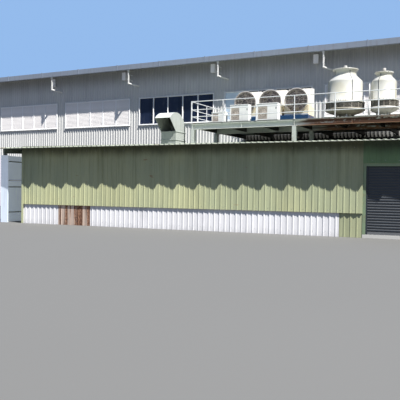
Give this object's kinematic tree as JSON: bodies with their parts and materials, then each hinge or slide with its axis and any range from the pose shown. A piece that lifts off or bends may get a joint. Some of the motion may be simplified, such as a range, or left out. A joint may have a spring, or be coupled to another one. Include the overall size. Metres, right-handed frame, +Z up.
{
  "type": "factory building",
  "caption": "Two-storey factory hall of ribbed grey sheet with louvred windows, a green lean-to with a roller shutter, and a platform with fans and cooling towers.",
  "frame": {"origin": "middle of the hall's ground slab, at ground level", "axes": "+X along the hall, +Y from the annex side to the back, +Z up"},
  "size_m": [36.36, 29.527, 9.5555],
  "materials": {
    "cladding": "satin",
    "panel": "satin",
    "roof": "satin",
    "trim": "satin",
    "white_metal": "satin",
    "steel": "satin",
    "grey_green": "satin",
    "green": "matte",
    "deep_green": "matte",
    "pale_green": "matte",
    "rust": "rusted",
    "shutter": "satin",
    "blue": "satin",
    "dark_metal": "matte",
    "cream": "satin",
    "glass": "polished",
    "concrete": "matte",
    "deck": "worn"
  },
  "bodies": {
    "building": {"hall_floor": "concrete", "hall_columns": "steel", "hall_rafters": "steel", "floor_beams": "steel", "upper_floor": "concrete", "hall_front_wall": "panel", "hall_back_wall": "panel", "hall_end_walls": "panel", "hall_front_cladding": "cladding", "hall_back_cladding": "cladding", "hall_end_cladding": "cladding", "hall_roof_front": "panel", "hall_roof_back": "panel", "hall_roof_sheets": "roof", "ridge_cap": "roof", "eave_gutters": "trim", "gutter_fittings": "white_metal", "downpipes": "white_metal", "louvre_windows": "white_metal", "glazed_window_frames": "white_metal", "glazed_window_glass": "glass", "annex_floor": "concrete", "annex_frame": "steel", "annex_rafters": "steel", "annex_roof": "pale_green", "annex_front_wall": "green", "annex_lintel_wall": "deep_green", "annex_white_sheets": "white_metal", "annex_rusty_sheets": "rust", "annex_side_walls": "green", "shutter_frame": "pale_green", "shutter_curtain": "shutter", "recess_screen": "trim", "recess_shelf": "white_metal", "exhaust_duct": "grey_green", "platform_posts": "grey_green", "platform_edge_beams": "grey_green", "platform_cross_beams": "steel", "platform_deck": "deck", "front_rail": "white_metal", "side_rails": "white_metal", "ac_units": "white_metal", "fan_base": "blue", "fan_housings": "cream", "fan_guards": "trim", "tower_shells": "cream", "tower_basins": "cream", "tower_fans": "dark_metal"},
    "rotor_1": {"fan_rotor_1": "dark_metal"},
    "rotor_2": {"fan_rotor_2": "dark_metal"},
    "rotor_3": {"fan_rotor_3": "dark_metal"}
  },
  "joints": [
    {"name": "fan_1_spin", "type": "hinge", "parent": "building", "child": "rotor_1", "pos_m": [3.1, -11.34, 5.59], "axis": [0, -1, 0], "continuous": true},
    {"name": "fan_2_spin", "type": "hinge", "parent": "building", "child": "rotor_2", "pos_m": [4.39, -11.34, 5.59], "axis": [0, -1, 0], "continuous": true},
    {"name": "fan_3_spin", "type": "hinge", "parent": "building", "child": "rotor_3", "pos_m": [5.68, -11.34, 5.59], "axis": [0, -1, 0], "continuous": true}
  ]
}
